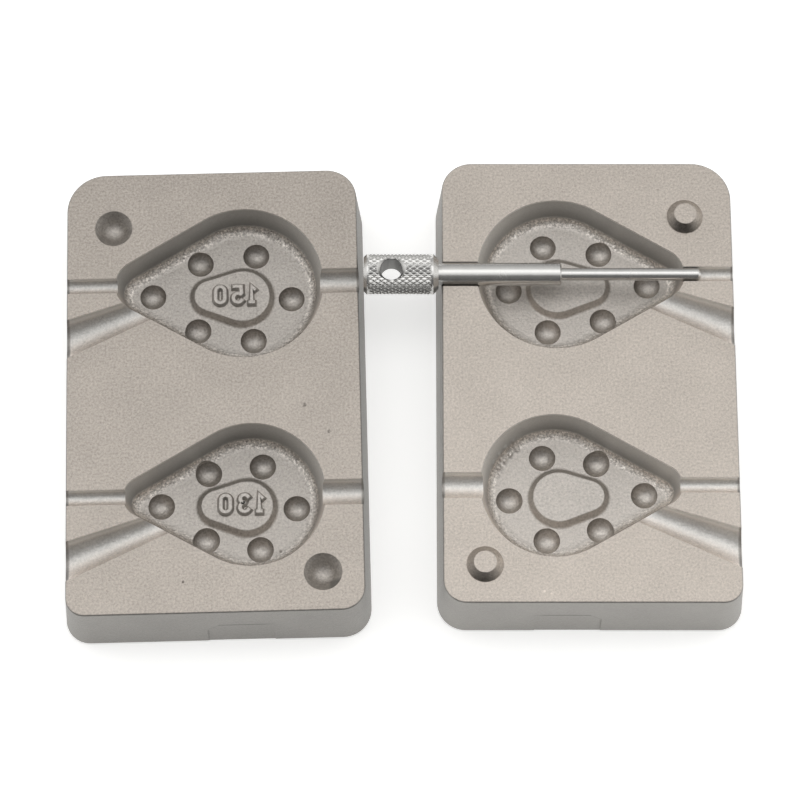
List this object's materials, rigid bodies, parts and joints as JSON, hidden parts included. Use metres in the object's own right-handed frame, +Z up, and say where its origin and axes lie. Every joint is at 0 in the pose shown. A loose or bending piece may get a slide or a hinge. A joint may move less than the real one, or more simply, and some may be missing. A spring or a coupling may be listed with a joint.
{
  "type": "fishing sinker mould",
  "caption": "Open cast mould for flat pear-shaped fishing sinkers, with drafted cavities, half-cone sprues, register studs and sockets, and a knurled core rod laid in one half.",
  "frame": {"origin": "on the ground under the middle of the laid-out set", "axes": "+X from the socket half towards the stud half, +Y away from the front ends, +Z up out of the parting faces"},
  "size_m": [0.147, 0.1052, 0.0221],
  "materials": {
    "cast_aluminium": "satin, fine cast grain",
    "turned_steel": "fine turned"
  },
  "bodies": {
    "root": {"socket_half": "cast_aluminium", "stud_half": "cast_aluminium", "core_rod": "turned_steel"}
  },
  "joints": []
}
